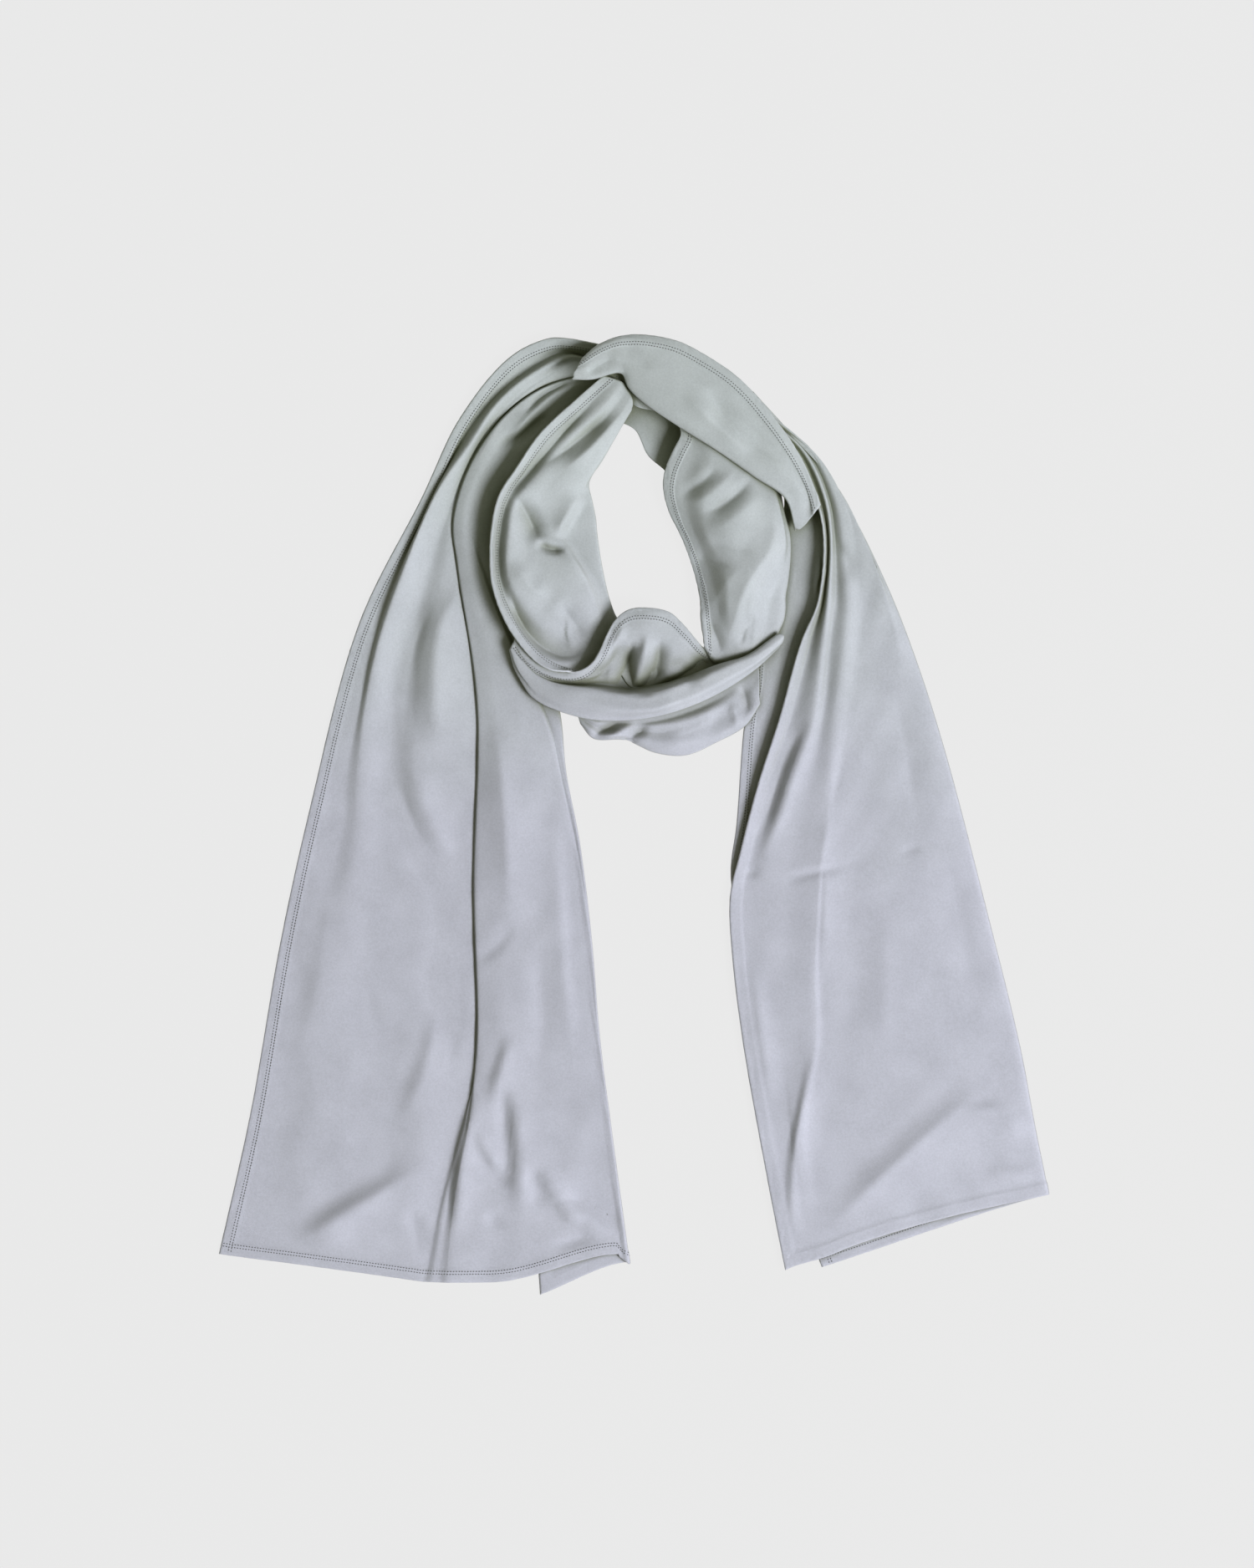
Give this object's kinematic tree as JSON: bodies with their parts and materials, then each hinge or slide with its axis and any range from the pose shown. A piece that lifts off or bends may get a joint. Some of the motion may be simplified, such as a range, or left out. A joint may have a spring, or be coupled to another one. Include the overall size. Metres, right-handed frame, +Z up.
{
  "type": "stretch scarf",
  "caption": "Long plain grey jersey scarf, wound once round the neck opening and laid flat with both tails down.",
  "frame": {"origin": "on the surface the scarf lies on, under the middle of its outline", "axes": "+Z up out of the surface, +Y from the tails' hems towards the neck loop, +X to the right as seen from above"},
  "size_m": [0.6451, 0.7445, 0.031],
  "materials": {
    "tail_jersey": "matte fine stretch jersey, lilac grey",
    "loop_jersey": "matte fine stretch jersey, sage grey"
  },
  "bodies": {
    "root": {"left_tail": "tail_jersey", "neck_back": "loop_jersey", "neck_back_folds": "loop_jersey", "loop_right": "loop_jersey", "loop_right_folds": "loop_jersey", "loop_front": "loop_jersey", "loop_front_folds": "loop_jersey", "front_underfold": "loop_jersey", "loop_left": "loop_jersey", "loop_left_folds": "loop_jersey", "neck_band": "loop_jersey", "neck_band_folds": "loop_jersey", "right_tail": "tail_jersey"}
  },
  "joints": []
}
